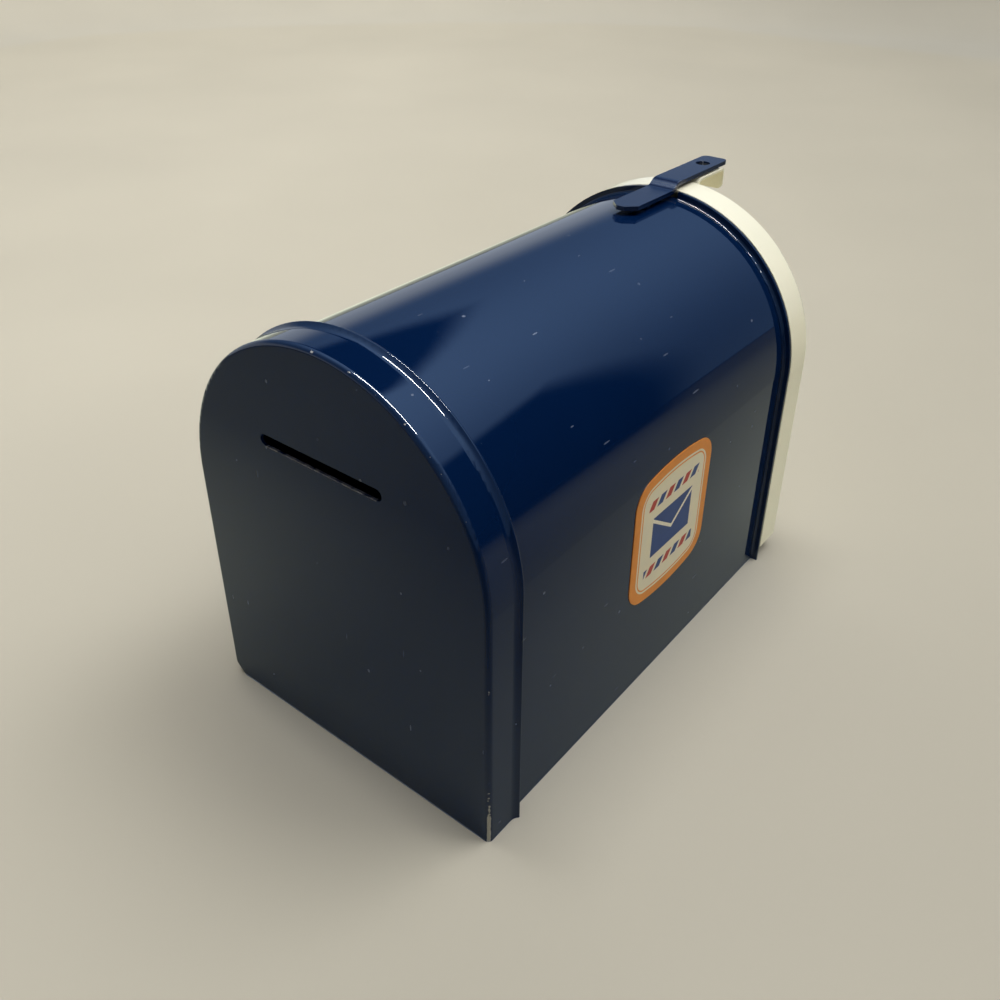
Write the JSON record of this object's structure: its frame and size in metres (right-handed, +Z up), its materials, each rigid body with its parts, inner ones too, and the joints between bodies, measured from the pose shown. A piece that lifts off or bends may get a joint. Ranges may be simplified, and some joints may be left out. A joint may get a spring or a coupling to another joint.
{
  "type": "mailbox coin bank",
  "caption": "Toy coin bank in the shape of an arched roadside mailbox, of pressed steel, with a coin slot at the rear, a swing-down door with a padlock hasp and a signal flag.",
  "frame": {"origin": "centre of the underside of the body, on the surface that the bank stands on", "axes": "+X to the flag side, +Y to the rear panel with the coin slot (the door is at -Y), +Z up"},
  "size_m": [0.091, 0.1635, 0.1123],
  "materials": {
    "navy_enamel": "gloss",
    "cream_enamel": "gloss",
    "red_enamel": "gloss",
    "plated_steel": "satin",
    "printed_sticker": "satin"
  },
  "bodies": {
    "bank": {"body_shell": "navy_enamel", "rear_cap": "navy_enamel", "floor_tray": "navy_enamel", "hasp_strap": "navy_enamel", "hinge_rod": "plated_steel", "side_label": "printed_sticker", "flag_rivet": "plated_steel", "flag_washer": "plated_steel", "flag_backing_washer": "plated_steel"},
    "door": {"door_pan": "cream_enamel", "door_pull": "cream_enamel"},
    "flag": {"signal_flag": "red_enamel"}
  },
  "joints": [
    {"name": "door_hinge", "type": "hinge", "parent": "bank", "child": "door", "pos_m": [0, -0.0776, 0.002], "axis": [1, 0, 0], "range_deg": [0, 81]},
    {"name": "flag_pivot", "type": "hinge", "parent": "bank", "child": "flag", "pos_m": [0.04385, -0.0497, 0.05], "axis": [1, 0, 0], "range_deg": [0, 90]}
  ]
}
